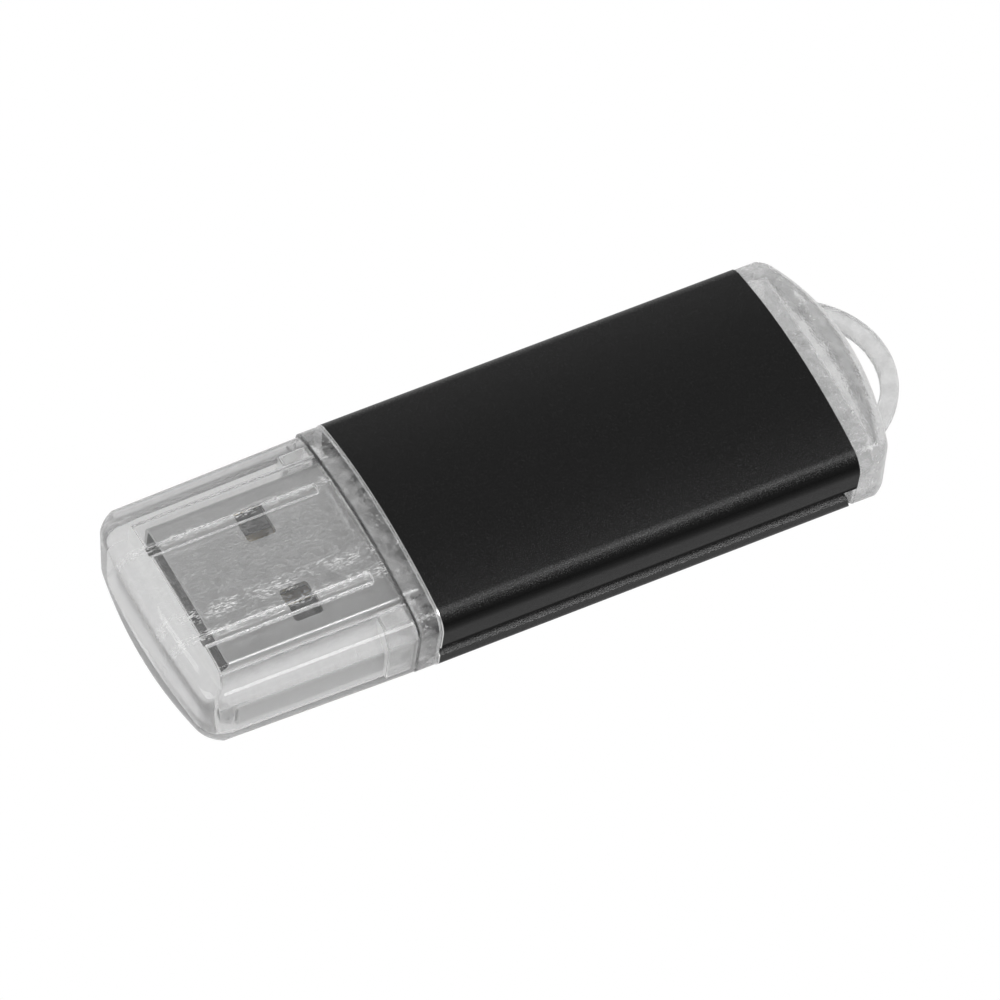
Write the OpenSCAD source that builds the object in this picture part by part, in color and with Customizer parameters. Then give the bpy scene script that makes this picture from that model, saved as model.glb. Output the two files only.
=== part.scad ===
// USB flash drive: aluminium sleeve, clear snap cap, clear end piece with lanyard loop.
// Millimetres. +X points out of the plug, +Y is the stick's left flank, +Z is up.
// Origin: middle of the flat land on the underside of the sleeve.

/* [Sleeve] */
// Length of the aluminium sleeve
sleeve_l = 29.4; // [26:0.1:34]
// Width over both flanks
body_w = 17.8; // [16.5:0.1:20]
// Height of the full section, before the underside is flattened
body_h = 7.28; // [7.2:0.02:8]
// Radius of the domed top
dome_r = 30; // [20:1:60]
// Radius of the slightly domed underside
under_r = 60; // [40:1:90]
// Radius where the top turns into the flank
shoulder_r = 1.5; // [1:0.1:2.5]
// Radius where the flank turns into the underside
hem_r = 1.2; // [1:0.1:2]
// How far the flank leans in towards the underside
lean = 0.4; // [0:0.05:0.6]
// Wall thickness at top and bottom
wall_t = 0.6; // [0.5:0.05:0.8]
// Wall thickness at the flanks
flank_t = 0.85; // [0.75:0.05:1.1]
// Depth of the flat land on the underside
land_depth = 0.08; // [0.04:0.01:0.15]

/* [Flank groove] */
// Depth of the groove along each flank
groove_depth = 0.42; // [0.2:0.01:0.45]
// Height of the groove's upper edge
groove_top_z = 3.05; // [2.9:0.05:3.6]
// Height of the upper edge of the groove's floor
groove_floor_z = 2.8; // [2.7:0.01:2.85]
// Height where the floor turns out into the sloping ledge
groove_ledge_z = 2.32; // [2.2:0.01:2.6]
// Height of the groove's lower edge
groove_low_z = 2.05; // [1.8:0.05:2.15]
// Length of the latch notch at the rear of each flank
notch_l = 0.7; // [0.4:0.05:1.2]

/* [Plug] */
// Width of the plug shell
plug_w = 12.0; // [11.9:0.05:12.1]
// Height of the plug shell
plug_h = 4.5; // [4.4:0.05:4.6]
// Distance from the sleeve's front edge to the tip of the plug
plug_reach = 13.2; // [12:0.1:14]
// Height of the plug's middle
plug_z = 3.1; // [3:0.05:3.5]
// Sheet thickness of the plug shell
shell_t = 0.3; // [0.25:0.05:0.35]
// Corner radius of the plug shell
shell_r = 0.55; // [0.4:0.05:0.8]
// How far the shell runs back into the body
shell_tail = 4.6; // [4:0.1:6]
// Distance from the plug's tip to its windows
window_x = 5.16; // [4.9:0.02:5.4]
// Window length
window_l = 1.95; // [1.8:0.05:2.2]
// Window width
window_w = 2.5; // [2.3:0.05:2.7]
// Half the gap between the two windows
window_gap = 2.0; // [1.8:0.05:2.2]
// Corner radius of each window
window_r = 0.25; // [0.1:0.05:0.5]

/* [Front collar] */
// Visible width of the clear collar
collar_l = 1.5; // [1.2:0.1:2]
// Step between the collar and the sleeve's surface
collar_step = 0.05; // [0.05:0.05:0.3]
// How far the side tenons reach into the cap
tenon_l = 1.7; // [1.2:0.1:2.2]

/* [Cap] */
// Length of the cap along the middle
cap_l = 15.0; // [14.4:0.1:16]
// Radius of the cap's curved front, seen from above
cap_end_r = 44; // [30:1:60]
// Radius of the cap's corners, seen from above
cap_corner_r = 1.5; // [1:0.1:3]
// Rounding of the cap's front edge
cap_edge_r = 1.25; // [0.4:0.05:1.4]
// How far the cap's mouth stands in from the sleeve's surface all round
cap_step = 0.16; // [0.05:0.01:0.3]
// How much lower the cap's middle sits than the sleeve's
cap_drop = 0.13; // [0:0.01:0.2]
// Width of the cap's front relative to its mouth
cap_taper_w = 0.975; // [0.94:0.001:1]
// Height of the cap's front relative to its mouth
cap_taper_h = 0.93; // [0.9:0.001:1]
// Room between the plug and the cap at the sides
cap_gap = 0.42; // [0.3:0.01:0.5]
// Room between the plug and the cap above
cap_headroom = 0.55; // [0.4:0.05:0.6]
// Room between the plug's tip and the cap's front wall
cap_tip_room = 1.0; // [0.8:0.05:1.4]
// Width of each rib inside the cap
rib_w = 0.75; // [0.5:0.05:1]
// Distance of each rib from the middle
rib_y = 3.8; // [3:0.1:4.6]
// Height of each rib
rib_h = 0.45; // [0.2:0.01:0.45]

/* [End piece] */
// Length of the end piece past the sleeve, along the middle
end_l = 3.65; // [2.8:0.05:4.5]
// Radius of the end piece's curved rear, seen from above
end_r = 28; // [20:1:60]
// How far the end piece's hollow reaches past the sleeve
end_hollow = 1.6; // [0.5:0.1:2]
// Corner radius of the end piece, seen from above
end_corner_r = 1.2; // [1:0.1:3]
// Rounding of the end piece's rear edge
end_edge_r = 1.05; // [0.4:0.05:1.4]
// Outer radius of the lanyard loop
loop_r = 6.7; // [6:0.1:8]
// Width of the loop, seen from above
loop_w = 1.2; // [0.9:0.05:1.6]
// Thickness of the loop
loop_t = 1.3; // [1:0.05:1.8]

/* [Circuit board] */
// Board length
board_l = 22.6; // [21:0.1:24]
// Board width
board_w = 13.6; // [12.5:0.1:13.6]
// Board thickness
board_t = 0.8; // [0.6:0.1:1]

/* [Hidden] */
eps = 0.01;
cut = 1;
fit_gap = 0.1;
front_x = sleeve_l / 2;
rear_x = -sleeve_l / 2;
mouth_x = front_x + collar_l;
tip_x = mouth_x + cap_l;
mid_z = body_h / 2 - land_depth;
plug_x = front_x + plug_reach;
shell_back_x = front_x - shell_tail;
window_front_x = plug_x - window_x;
cavity_x = plug_x + cap_tip_room;
rib_x = mouth_x + 1.3;
hollow_bevel = 0.6;
roof_z = plug_z + plug_h / 2 + cap_headroom;
tenon_y = 7.35;
tenon_h = 2.0;
carrier_back_x = rear_x + 3;
spigot_x = rear_x + 2.8;
board_front_x = shell_back_x - 0.3;
board_back_x = board_front_x - board_l;
tongue_top_z = plug_z - 0.15;
board_z = plug_z - 0.3;
contact_t = 0.2;
contact_z = board_z + 0.05;
contact_front_x = plug_x - 1.3;
contact_tail_x = board_front_x - 1.7;
pitch_outer = 3.5;
pitch_inner = 1.0;
pad_t = 0.03;
lead_w = 0.22;
lead_t = 0.13;
lead_pitch = 0.5;
flash_x = -2.6;
flash_body_l = 18.4;
flash_body_w = 12;
flash_body_t = 1.0;
flash_span = 20;
flash_count = 24;
ctrl_x = 1.2;
ctrl_y = -0.8;
ctrl_body = 7;
ctrl_body_t = 1.0;
ctrl_span = 9;
ctrl_count = 12;
lead_standoff = 0.1;
inner_r = 0.8;
crystal_x = -8.2;
crystal_y = 3.2;
crystal_l = 5.0;
crystal_w = 3.2;
led_x = board_back_x + 0.9;
led_y = -2.4;
chip_l = 1.6;
chip_w = 0.8;
cap_chip_t = 0.8;
res_chip_t = 0.45;
term_l = 0.3;
cap_chips = [[-4.2, -4.9, 0], [-4.2, 4.6, 0], [6.7, -4.2, 90], [6.9, 1.6, 90], [-8.2, 5.9, 0],
    [-9.4, -0.4, 0]];
res_chips = [[8.1, -2.0, 90], [8.1, 4.0, 90], [-7.0, -3.6, 0], [-7.0, -5.2, 0],
    [-9.9, -4.4, 90]];
clear_col = [0.93, 0.94, 0.95, 0.45];
black_col = [0.12, 0.12, 0.13];
steel_col = [0.72, 0.73, 0.74];
gold_col = [0.86, 0.68, 0.32];
tin_col = [0.8, 0.8, 0.8];
solder_col = [0.66, 0.67, 0.68];
mask_col = [0.05, 0.22, 0.16];
mould_col = [0.1, 0.1, 0.1];
insulator_col = [0.14, 0.14, 0.15];
ceramic_col = [0.72, 0.62, 0.5];

// Points of one quarter of the domed section, from the flank up to the middle.
function quarter(hw, hh, dr, sr) =
    let (cy = hw - sr)
    let (dz = hh - dr)
    let (cz = dz + sqrt((dr - sr) * (dr - sr) - cy * cy))
    let (a0 = atan2(cz - dz, cy))
    concat(
        [for (i = [0:8]) [cy + sr * cos(a0 * i / 8), cz + sr * sin(a0 * i / 8)]],
        [for (i = [1:10]) [dr * cos(a0 + (90 - a0) * i / 10), dz + dr * sin(a0 + (90 - a0) * i / 10)]]
    );

// Closed section: an upper quarter and a lower one, each mirrored left to right.
function section(hw, hh, sr, hr) =
    let (q = quarter(hw, hh, dome_r - body_h / 2 + hh, sr))
    let (u = quarter(hw - lean, hh, under_r - body_h / 2 + hh, hr))
    let (n = len(q))
    concat(
        [for (i = [0:n - 1]) q[i]],
        [for (i = [n - 2:-1:0]) [-q[i][0], q[i][1]]],
        [for (i = [0:n - 1]) [-u[i][0], -u[i][1]]],
        [for (i = [n - 2:-1:0]) [u[i][0], -u[i][1]]]
    );

// The outer section, shrunk evenly by d.
function outer(d) = section(body_w / 2 - d, body_h / 2 - d, shoulder_r - d, hem_r - d);

// The sleeve's inside, shrunk by a further d.
function inner(d) = section(body_w / 2 - flank_t - d, body_h / 2 - wall_t - d, inner_r - d, inner_r - d);

// Half-width of the leaning flank at height z.
function flank_y(z) =
    let (q = quarter(body_w / 2, body_h / 2, dome_r, shoulder_r)[0])
    let (u = quarter(body_w / 2 - lean, body_h / 2, under_r, hem_r)[0])
    u[0] + (q[0] - u[0]) * (z - mid_z + u[1]) / (q[1] + u[1]);

// A section pushed along X from x0 to x1, centred on the body's middle height.
module prism(pts, x0, x1, taper = 1) {
    translate([x0, 0, mid_z])
        rotate([90, 0, 90])
            linear_extrude(height = x1 - x0, scale = taper)
                polygon(pts);
}

module box(x0, x1, y0, y1, z0, z1) {
    translate([x0, y0, z0])
        cube([x1 - x0, y1 - y0, z1 - z0]);
}

// Half plan of a curved end: arc of radius ar with rounded corners, tip at the origin.
function end_plan(hw, ar, cr) =
    let (ccy = hw - cr)
    let (ccx = -ar + sqrt((ar - cr) * (ar - cr) - ccy * ccy))
    let (a1 = atan2(ccy, ccx + ar))
    concat(
        [for (i = [0:8]) [ar * cos(a1 * i / 8) - ar, ar * sin(a1 * i / 8)]],
        [for (i = [1:7]) [ccx + cr * cos(a1 + (90 - a1) * i / 7), ccy + cr * sin(a1 + (90 - a1) * i / 7)]]
    );

// Plan of the end, mirrored, and run back by len_x to a half-width of back_hw.
module end_slab(hw, ar, cr, len_x, top, back_hw) {
    q = end_plan(hw, ar, cr);
    n = len(q);
    half = [for (i = [0:n - 1]) q[i]];
    back = [[-len_x, back_hw], [-len_x, -back_hw]];
    other = [for (i = [n - 1:-1:1]) [q[i][0], -q[i][1]]];
    translate([0, 0, mid_z - top])
        linear_extrude(height = 2 * top)
            polygon(concat(half, back, other));
}

// One wide bevel along the top or bottom edge of a curved end whose corner is at the origin.
// A cylinder tilted by a touches the edge evenly along its whole curve, where an end of
// radius ar meets a dome of radius dr.
module bevel_drum(a, ar, er, dr) {
    r = 1 / (cos(a) / ar + sin(abs(a)) / dr);
    c = er * (cos(a) + sin(abs(a)) - 1);
    rotate([0, -a, 0])
        translate([-c - r, 0, 0])
            cylinder(h = 40, r = r, $fn = 240, center = true);
}

// Rounds a curved end's top and bottom edges; top is the edge's height above the middle.
module rim_tools(top, ar, er) {
    intersection() {
        translate([0, 0, mid_z + top])
            bevel_drum(18, ar, er, dome_r);
        translate([0, 0, mid_z + top])
            bevel_drum(45, ar, er, dome_r);
        translate([0, 0, mid_z + top])
            bevel_drum(72, ar, er, dome_r);
        translate([0, 0, mid_z - top])
            bevel_drum(-18, ar, er, under_r);
        translate([0, 0, mid_z - top])
            bevel_drum(-45, ar, er, under_r);
        translate([0, 0, mid_z - top])
            bevel_drum(-72, ar, er, under_r);
    }
}

// Rectangle with round corners, centred on the origin.
module round_rect(w, h, r) {
    square([w - 2 * r, h], center = true);
    square([w, h - 2 * r], center = true);
    for (sx = [-1, 1], sy = [-1, 1])
        translate([sx * (w / 2 - r), sy * (h / 2 - r)])
            circle(r = r, $fn = 24);
}

// Rounded rectangle pushed along X, centred on the plug.
module tube_bar(w, h, r, x0, x1) {
    translate([x0, 0, plug_z])
        rotate([90, 0, 90])
            linear_extrude(height = x1 - x0)
                round_rect(w, h, r);
}

// One rib: a bar with a round end towards the mouth.
module rib(y, z0, z1) {
    box(rib_x, cavity_x + 0.4, y - rib_w / 2, y + rib_w / 2, z0, z1);
    translate([rib_x, y, z0])
        cylinder(h = z1 - z0, d = rib_w, $fn = 32);
}

module cap_outside() {
    tip_hw = (body_w / 2 - cap_step) * cap_taper_w;
    intersection() {
        translate([0, 0, -cap_drop])
            prism(outer(cap_step), mouth_x, tip_x, [cap_taper_w, cap_taper_h]);
        translate([tip_x, 0, 0])
            end_slab(tip_hw, cap_end_r, cap_corner_r, cap_l + cut, body_h, body_w / 2);
        translate([tip_x, 0, -cap_drop])
            rim_tools((body_h / 2 - cap_step) * cap_taper_h, cap_end_r, cap_edge_r);
        box(mouth_x - cut, tip_x + cut, -body_w, body_w, 0.02, body_h + cut);
    }
}

module cap_hollow() {
    hy = plug_w / 2 + cap_gap;
    floor_z = plug_z - plug_h / 2 - 0.2;
    bevel = hollow_bevel;
    translate([mouth_x - cut, 0, 0])
        rotate([90, 0, 90])
            linear_extrude(height = cavity_x - mouth_x + cut)
                polygon([[-hy, floor_z], [hy, floor_z], [hy, roof_z - bevel], [hy - bevel, roof_z],
                    [bevel - hy, roof_z], [-hy, roof_z - bevel]]);
    box(mouth_x - cut, mouth_x + tenon_l + 0.2, -tenon_y - 0.08, tenon_y + 0.08, plug_z - tenon_h - 0.08,
        plug_z + tenon_h + 0.08);
}

module cap() {
    color(clear_col) {
        difference() {
            cap_outside();
            cap_hollow();
        }
        for (sy = [-1, 1])
            rib(sy * rib_y, roof_z - rib_h, roof_z + 0.2);
    }
}

// Groove along one flank, drawn as the material to remove; its lower side is an upward-facing ledge.
module groove(s) {
    far = body_w / 2 + cut;
    translate([rear_x - cut, 0, 0])
        rotate([90, 0, 90])
            linear_extrude(height = sleeve_l + 2 * cut)
                polygon([[s * far, groove_top_z], [s * flank_y(groove_top_z), groove_top_z],
                    [s * (flank_y(groove_floor_z) - groove_depth), groove_floor_z],
                    [s * (flank_y(groove_ledge_z) - groove_depth), groove_ledge_z],
                    [s * flank_y(groove_low_z), groove_low_z], [s * far, groove_low_z]]);
}

// Slanted latch notch at the rear of one flank, deepest at the groove.
module latch_notch(s, gap) {
    y0 = body_w / 2 - flank_t - 0.3;
    translate([rear_x, 0, 0])
        rotate([90, 0, 0])
            translate([0, 0, s > 0 ? -y0 - 2 : y0])
                linear_extrude(height = 2)
                    polygon([[-cut, groove_top_z - gap], [0.1 - gap, groove_top_z - gap],
                        [notch_l - gap, groove_floor_z - 0.12 - gap], [notch_l - gap, groove_floor_z - 0.4],
                        [0.12 - gap, 0.5 + gap], [-cut, 0.5 + gap]]);
}

module sleeve() {
    color(black_col)
        difference() {
            prism(outer(0), rear_x, front_x);
            prism(inner(0), rear_x - cut, front_x + cut);
            groove(1);
            groove(-1);
            latch_notch(1, 0);
            latch_notch(-1, 0);
            box(rear_x - cut, front_x + cut, -body_w, body_w, -cut, 0);
        }
}

module carrier() {
    tray_z = 1.35;
    slot_w = plug_w + 0.08;
    slot_h = plug_h + 0.08;
    trough_y = 6.95;
    color(clear_col) {
        difference() {
            union() {
                prism(outer(collar_step), front_x + 0.02, mouth_x - 0.03);
                prism(inner(fit_gap), carrier_back_x, front_x + 0.5);
                for (s = [-1, 1])
                    box(mouth_x - cut, mouth_x + tenon_l, s > 0 ? 6.2 : -tenon_y, s > 0 ? tenon_y : -6.2,
                        plug_z - tenon_h, plug_z + tenon_h);
            }
            tube_bar(slot_w, slot_h, shell_r + 0.04, shell_back_x - cut, mouth_x + cut);
            box(carrier_back_x - cut, shell_back_x - 0.1, -trough_y, trough_y, tray_z, body_h + cut);
            box(shell_back_x - 0.2, front_x - 1.2, -5.4, 5.4, plug_z + 1, body_h + cut);
            box(-10.9, 8.8, -6.35, 6.35, 0, tray_z + cut);
            box(front_x - 1, mouth_x + cut, -body_w, body_w, -cut, 0.02);
        }
        for (x = [8.9, -10.6], s = [-1, 1])
            box(x - 1.1, x + 0.2, s > 0 ? 6.35 : -trough_y - 0.1, s > 0 ? trough_y + 0.1 : -6.35,
                tray_z - 0.2, board_z - board_t);
    }
}

// Lanyard ring with bevelled edges, before it is trimmed to a half.
module ring() {
    b = 0.3;
    r0 = loop_r - loop_w;
    h = loop_t / 2;
    translate([rear_x, 0, mid_z])
        rotate_extrude($fn = 96)
            polygon([[r0, -h + b], [r0 + b, -h], [loop_r - b, -h], [loop_r, -h + b],
                [loop_r, h - b], [loop_r - b, h], [r0 + b, h], [r0, h - b]]);
}

module end_piece() {
    color(clear_col) {
        difference() {
            union() {
                intersection() {
                    prism(outer(collar_step), rear_x - end_l - cut, rear_x - 0.02);
                    translate([rear_x - end_l, 0, 0])
                        mirror([1, 0, 0])
                            end_slab(body_w / 2 - collar_step, end_r, end_corner_r, end_l + cut, body_h,
                                body_w / 2);
                    translate([rear_x - end_l, 0, 0])
                        mirror([1, 0, 0])
                            rim_tools(body_h / 2 - collar_step, end_r, end_edge_r);
                }
                prism(inner(fit_gap), rear_x - 0.5, spigot_x);
            }
            box(rear_x - end_hollow, spigot_x + cut, -6.95, 6.95, 1.35, 5.5);
            box(rear_x - end_l, rear_x, -body_w, body_w, -cut, 0.02);
        }
        intersection() {
            ring();
            box(rear_x - 2 * loop_r, rear_x - end_l + 1.3, -loop_r - cut, loop_r + cut, 0, body_h);
        }
        for (s = [-1, 1])
            intersection() {
                latch_notch(s, 0.08);
                prism(outer(collar_step + 0.1), rear_x - 0.3, rear_x + notch_l);
            }
    }
}

module plug_shell() {
    tab_y = plug_w / 2;
    color(steel_col) {
        difference() {
            tube_bar(plug_w, plug_h, shell_r, shell_back_x, plug_x);
            tube_bar(plug_w - 2 * shell_t, plug_h - 2 * shell_t, shell_r - shell_t, shell_back_x - cut,
                plug_x + cut);
            for (s = [-1, 1])
                translate([window_front_x - window_l / 2, s * (window_gap + window_w / 2), -cut])
                    linear_extrude(height = body_h + 2 * cut)
                        round_rect(window_l, window_w, window_r);
            box(shell_back_x - cut, plug_x + cut, -0.03, 0.03, -cut, plug_z - plug_h / 2 + shell_t + 0.05);
        }
        for (s = [-1, 1])
            box(shell_back_x - 2.1, shell_back_x + 0.1, s > 0 ? tab_y - shell_t : -tab_y,
                s > 0 ? tab_y : -tab_y + shell_t, plug_z - 1.5, plug_z + 0.9);
    }
}

module plug_tongue() {
    lo = plug_z - plug_h / 2 + shell_t + 0.01;
    hi = plug_z + plug_h / 2 - shell_t - 0.01;
    ty = plug_w / 2 - shell_t - 0.02;
    grooves = [pitch_outer, pitch_inner, -pitch_inner, -pitch_outer];
    color(insulator_col)
        difference() {
            union() {
                box(shell_back_x + 0.3, plug_x - 0.35, -ty + 0.3, ty - 0.3, lo, tongue_top_z);
                box(shell_back_x + 0.3, shell_back_x + 3.3, -ty + 0.3, ty - 0.3, lo, hi);
                box(shell_back_x + 0.3, shell_back_x + 3.3, -ty, ty, lo + 0.3, hi - 0.3);
            }
            for (y = grooves)
                box(shell_back_x - cut, contact_front_x + 0.15, y - 0.53, y + 0.53, contact_z - 0.01,
                    contact_z + contact_t + 0.03);
            for (y = grooves)
                box(shell_back_x + 3.3, plug_x - 3.4, y - 0.53, y + 0.53, contact_z - 0.01,
                    tongue_top_z + cut);
            box(plug_x - 0.75, plug_x, -ty, ty, tongue_top_z - 0.25, tongue_top_z + cut);
            translate([window_front_x - window_l / 2, -3.25, lo - eps])
                cylinder(h = 0.5, d = 1.2, $fn = 32);
            translate([window_front_x - window_l / 2, 3.25, lo - eps])
                cylinder(h = 0.5, d = 1.2, $fn = 32);
        }
}

// One flat contact lying in its groove, with a tail that reaches its pad.
module contact(y, front) {
    color(gold_col)
        box(contact_tail_x, contact_front_x - front, y - 0.5, y + 0.5, contact_z, contact_z + contact_t);
}

module contact_vbus() {
    contact(pitch_outer, 0);
}

module contact_data_minus() {
    contact(pitch_inner, 1);
}

module contact_data_plus() {
    contact(-pitch_inner, 1);
}

module contact_ground() {
    contact(-pitch_outer, 0);
}

// Solder that joins each tail to its pad.
module contact_solder() {
    z0 = board_z + pad_t;
    color(solder_col)
        for (y = [pitch_outer, pitch_inner, -pitch_inner, -pitch_outer]) {
            box(contact_tail_x - 0.3, contact_tail_x, y - 0.55, y + 0.55, z0, contact_z + 0.12);
            box(contact_tail_x - 0.3, board_front_x - 0.4, y - 0.55, y + 0.55, z0, contact_z);
        }
}

// Solder that joins the shell's two tabs to the board.
module shell_solder() {
    y_in = plug_w / 2 - shell_t;
    color(solder_col)
        for (s = [-1, 1])
            translate([shell_back_x - 1.2, s * (y_in - 0.28), board_z + 0.2])
                rotate([0, 90, 0])
                    cylinder(h = 1.4, r1 = 0.2, r2 = 0.2, $fn = 24, center = true);
}

module circuit_board() {
    tab_y = plug_w / 2;
    neck_y = plug_w / 2 + 0.1;
    color(mask_col)
        difference() {
            box(board_back_x, board_front_x, -board_w / 2, board_w / 2, board_z - board_t, board_z);
            for (s = [-1, 1])
                box(shell_back_x - 2.2, shell_back_x + cut, s > 0 ? tab_y - shell_t - 0.05 : -neck_y,
                    s > 0 ? neck_y : -tab_y + shell_t + 0.05, 0, body_h);
            for (s = [-1, 1])
                translate([board_back_x + 2.2, s * board_w / 2, board_z - board_t - cut])
                    cylinder(h = board_t + 2 * cut, d = 1.2, $fn = 32);
        }
}

// Every exposed land: contacts and memory above, controller below.
module copper_pads() {
    under = board_z - board_t - pad_t;
    foot = 0.7;
    color(gold_col) {
        for (y = [pitch_outer, pitch_inner, -pitch_inner, -pitch_outer])
            box(contact_tail_x - 0.35, board_front_x - 0.2, y - 0.7, y + 0.7, board_z, board_z + pad_t);
        for (s = [-1, 1], i = [0:flash_count - 1])
            translate([flash_x + s * (flash_span / 2 - foot / 2 + 0.05), (i - (flash_count - 1) / 2) * lead_pitch,
                board_z + pad_t / 2])
                cube([foot, lead_w + 0.06, pad_t], center = true);
        for (a = [0:90:270], i = [0:ctrl_count - 1])
            translate([ctrl_x, ctrl_y, under + pad_t / 2])
                rotate([0, 0, a])
                    translate([ctrl_span / 2 - foot / 2, (i - (ctrl_count - 1) / 2) * lead_pitch, 0])
                        cube([foot, lead_w + 0.06, pad_t], center = true);
    }
}

// Moulded package with its pin-one dimple.
module package(l, w, t, dimple_x, dimple_y) {
    difference() {
        translate([-l / 2, -w / 2, 0])
            cube([l, w, t]);
        translate([dimple_x, dimple_y, t - 0.08])
            cylinder(h = cut, d = 0.9, $fn = 32);
    }
}

// One gull-wing lead in side view, from the body's edge out to the foot.
module gull(reach, rise) {
    rotate([90, 0, 0])
        translate([0, 0, -lead_w / 2])
            linear_extrude(height = lead_w)
                polygon([[0, rise], [0, rise + lead_t], [reach * 0.38, rise + lead_t],
                    [reach * 0.62, lead_t], [reach, lead_t], [reach, 0], [reach * 0.52, 0],
                    [reach * 0.3, rise]]);
}

module flash_chip() {
    color(mould_col)
        translate([flash_x, 0, board_z + pad_t + lead_standoff])
            package(flash_body_l, flash_body_w, flash_body_t, 7.9, 4.9);
}

module flash_leads() {
    reach = (flash_span - flash_body_l) / 2;
    color(tin_col)
        for (s = [-1, 1], i = [0:flash_count - 1])
            translate([flash_x + s * flash_body_l / 2, (i - (flash_count - 1) / 2) * lead_pitch,
                board_z + pad_t])
                rotate([0, 0, s > 0 ? 0 : 180])
                    gull(reach, 0.55);
}

module controller_chip() {
    color(mould_col)
        translate([ctrl_x, ctrl_y, board_z - board_t - pad_t - lead_standoff])
            rotate([180, 0, 0])
                package(ctrl_body, ctrl_body, ctrl_body_t, 2.5, 2.5);
}

module controller_leads() {
    reach = (ctrl_span - ctrl_body) / 2;
    color(tin_col)
        for (a = [0:90:270], i = [0:ctrl_count - 1])
            translate([ctrl_x, ctrl_y, board_z - board_t - pad_t])
                rotate([180, 0, a])
                    translate([ctrl_body / 2, (i - (ctrl_count - 1) / 2) * lead_pitch, 0])
                        gull(reach, 0.55);
}

module crystal_base() {
    color(ceramic_col)
        translate([crystal_x, crystal_y, board_z - board_t - 0.2])
            cube([crystal_l, crystal_w, 0.4], center = true);
}

module crystal_can() {
    color(steel_col)
        translate([crystal_x, crystal_y, board_z - board_t - 0.4 - 0.24])
            cube([crystal_l - 0.4, crystal_w - 0.4, 0.48], center = true);
}

// Places its children under the board at each listed spot.
module under_board(spots) {
    for (p = spots)
        translate([p[0], p[1], board_z - board_t])
            rotate([0, 0, p[2]])
                children();
}

module chip_body(t) {
    translate([0, 0, -t / 2])
        cube([chip_l - 2 * term_l, chip_w, t], center = true);
}

module chip_ends(t) {
    for (s = [-1, 1])
        translate([s * (chip_l - term_l) / 2, 0, -t / 2])
            cube([term_l, chip_w, t], center = true);
}

module capacitor_bodies() {
    color(ceramic_col)
        under_board(cap_chips)
            chip_body(cap_chip_t);
}

module capacitor_terminals() {
    color(tin_col)
        under_board(cap_chips)
            chip_ends(cap_chip_t);
}

module resistor_bodies() {
    color(mould_col)
        under_board(res_chips)
            chip_body(res_chip_t);
}

module resistor_terminals() {
    color(tin_col)
        under_board(res_chips)
            chip_ends(res_chip_t);
}

module led_base() {
    color(tin_col)
        translate([led_x, led_y, board_z - board_t - 0.15])
            cube([0.8, 1.6, 0.3], center = true);
}

module led_lens() {
    color([0.9, 0.9, 0.8, 0.7])
        translate([led_x, led_y, board_z - board_t - 0.3 - 0.14])
            cube([0.8, 1.1, 0.28], center = true);
}

cap();
sleeve();
carrier();
end_piece();
plug_shell();
plug_tongue();
contact_vbus();
contact_data_minus();
contact_data_plus();
contact_ground();
contact_solder();
shell_solder();
circuit_board();
copper_pads();
flash_chip();
flash_leads();
controller_chip();
controller_leads();
crystal_base();
crystal_can();
capacitor_bodies();
capacitor_terminals();
resistor_bodies();
resistor_terminals();
led_base();
led_lens();
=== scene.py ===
import math
import bmesh
import bpy
from mathutils import Matrix, Vector


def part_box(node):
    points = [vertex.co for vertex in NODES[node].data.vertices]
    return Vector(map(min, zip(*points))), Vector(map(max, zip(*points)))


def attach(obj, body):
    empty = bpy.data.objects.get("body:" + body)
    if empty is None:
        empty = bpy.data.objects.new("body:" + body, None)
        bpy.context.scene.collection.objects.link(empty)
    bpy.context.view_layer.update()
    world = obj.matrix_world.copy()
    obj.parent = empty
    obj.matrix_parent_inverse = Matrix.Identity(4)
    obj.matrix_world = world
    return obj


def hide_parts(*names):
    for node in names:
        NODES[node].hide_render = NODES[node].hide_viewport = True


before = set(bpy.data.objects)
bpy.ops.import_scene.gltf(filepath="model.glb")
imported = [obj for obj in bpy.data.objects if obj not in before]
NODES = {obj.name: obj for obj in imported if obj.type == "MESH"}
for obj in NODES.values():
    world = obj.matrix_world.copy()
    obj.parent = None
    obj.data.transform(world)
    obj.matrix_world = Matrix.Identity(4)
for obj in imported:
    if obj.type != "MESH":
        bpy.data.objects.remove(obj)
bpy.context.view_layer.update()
MM = 0.001


def box_mm(node):
    lo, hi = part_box(node)
    return [v / MM for v in lo], [v / MM for v in hi]


# Lengths are in millimetres, and names that end in X, Y or Z are places in the CAD's frame.
SLEEVE_LO, SLEEVE_HI = box_mm("sleeve")
CAP_LO, CAP_HI = box_mm("cap")
PLUG_LO, PLUG_HI = box_mm("plug_shell")

# The body's section, as the CAD draws it.
HALF_W = SLEEVE_HI[1]
HALF_H = 3.64
MID_Z = SLEEVE_HI[2] - HALF_H
DOME_R = 30.0
UNDER_R = 60.0
SHOULDER_R = 1.5
HEM_R = 1.2
SMALLEST_R = 0.08
SKIN = 0.05

# Each flank leans in by LEAN over LEAN_H, from LEAN_START above the section's middle downwards.
LEAN = 0.4
LEAN_START = 2.0
LEAN_H = 4.0

FRONT_X = SLEEVE_HI[0]
REAR_X = SLEEVE_LO[0]
MOUTH_X = CAP_LO[0]
TIP_X = CAP_HI[0]
PLUG_Z = (PLUG_LO[2] + PLUG_HI[2]) / 2
PLUG_HALF_W = PLUG_HI[1]
CAVITY_X = PLUG_HI[0] + 1.0
ROOF_Z = PLUG_HI[2] + 0.55
CAVITY_HALF_W = PLUG_HALF_W + 0.42
CAVITY_FLOOR_Z = PLUG_LO[2] - 0.2
CAVITY_TOP_R = 0.6
CAVITY_FRONT_R = 0.14

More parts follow.
